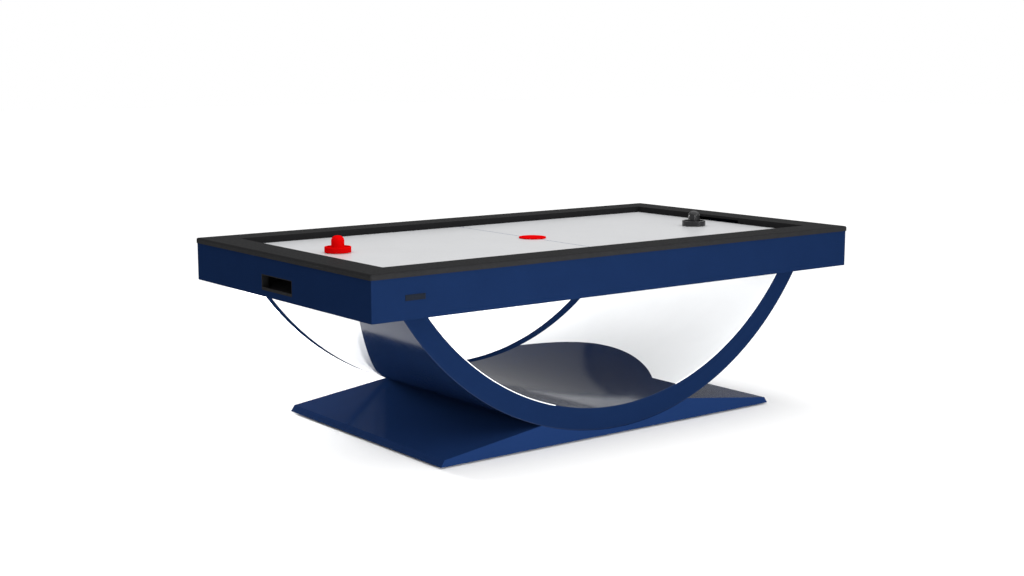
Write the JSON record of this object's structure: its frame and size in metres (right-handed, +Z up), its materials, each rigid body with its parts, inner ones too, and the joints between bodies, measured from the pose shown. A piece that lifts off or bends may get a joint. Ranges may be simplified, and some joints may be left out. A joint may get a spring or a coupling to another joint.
{
  "type": "air hockey table",
  "caption": "Full-size air hockey table: a blue cabinet with a white perforated playfield on a half-moon arch and a wedge plinth, with a fan, puck returns, two mallets and a puck.",
  "frame": {"origin": "on the floor under the middle of the playfield", "axes": "+X along the table towards the black mallet, +Y away from the side with the badge plate, +Z up"},
  "size_m": [2.56, 1.4, 0.8418],
  "materials": {
    "blue_lacquer": "gloss",
    "black_rail": "satin",
    "white_playfield": "gloss",
    "raw_board": "matte",
    "blue_skin": "gloss",
    "white_panel": "gloss",
    "plinth_blue": "gloss",
    "black_plastic": "matte",
    "line_blue": "satin",
    "red_plastic": "gloss",
    "black_gloss": "gloss",
    "steel": "satin",
    "motor_metal": "satin",
    "rubber": "matte",
    "brass": "satin",
    "felt": "matte",
    "badge_metal": "satin"
  },
  "bodies": {
    "table": {"apron_battens": "raw_board", "apron_front": "blue_lacquer", "apron_left": "blue_lacquer", "apron_rear": "blue_lacquer", "apron_right": "blue_lacquer", "arch_blocks": "raw_board", "arch_front_ring": "blue_lacquer", "arch_middle_ring": "raw_board", "arch_rear_ring": "blue_lacquer", "arch_webs": "raw_board", "arm_bolts": "steel", "badge_plate": "badge_metal", "centre_line": "line_blue", "cross_channels": "steel", "fairing_left": "blue_skin", "fairing_right": "blue_skin", "fan_guard": "black_plastic", "fan_housing": "black_plastic", "fan_motor": "motor_metal", "floor_glides": "rubber", "foot_bolts": "steel", "inlet_pins": "brass", "inner_panel_left": "white_panel", "inner_panel_right": "white_panel", "long_beams": "raw_board", "mains_leads": "black_plastic", "motor_bracket": "steel", "mount_plates": "steel", "outer_panel_left": "white_panel", "outer_panel_right": "white_panel", "playfield": "white_playfield", "plenum_floor": "raw_board", "plenum_spacers": "raw_board", "plenum_walls": "raw_board", "plinth_board": "plinth_blue", "power_inlet": "black_plastic", "puck_chute_left": "black_plastic", "puck_chute_right": "black_plastic", "rail_brackets": "steel", "rail_front": "black_rail", "rail_left": "black_rail", "rail_rear": "black_rail", "rail_right": "black_rail", "ramp_left": "plinth_blue", "ramp_ribs": "raw_board", "ramp_right": "plinth_blue", "return_liners": "black_plastic", "service_hatch": "raw_board", "switch_body": "black_plastic", "trough_liner": "blue_skin", "underside_panel": "raw_board", "wood_screws": "steel"},
    "impeller": {"fan_impeller": "black_plastic", "motor_shaft": "steel"},
    "rocker": {"switch_rocker": "black_plastic"},
    "red_mallet": {"mallet_red": "red_plastic", "felt_red": "felt"},
    "black_mallet": {"mallet_black": "black_gloss", "felt_black": "felt"},
    "puck": {"puck": "red_plastic"}
  },
  "joints": [
    {"name": "impeller_spin", "type": "hinge", "parent": "table", "child": "impeller", "pos_m": [0, 0, 0.68], "axis": [0, 0, 1], "continuous": true},
    {"name": "power_rocker", "type": "hinge", "parent": "table", "child": "rocker", "pos_m": [0.3, 0.6, 0.629], "axis": [0, 1, 0], "range_deg": [0, 24]},
    {"name": "red_mallet_slide", "type": "slide", "parent": "table", "child": "red_mallet", "axis": [1, 0, 0], "range_m": [-0.142, 0.86]},
    {"name": "black_mallet_slide", "type": "slide", "parent": "table", "child": "black_mallet", "axis": [1, 0, 0], "range_m": [-0.817, 0.17]},
    {"name": "puck_slide", "type": "slide", "parent": "table", "child": "puck", "axis": [0.9988, 0.0499, 0], "range_m": [-1.14, 1.14]}
  ]
}
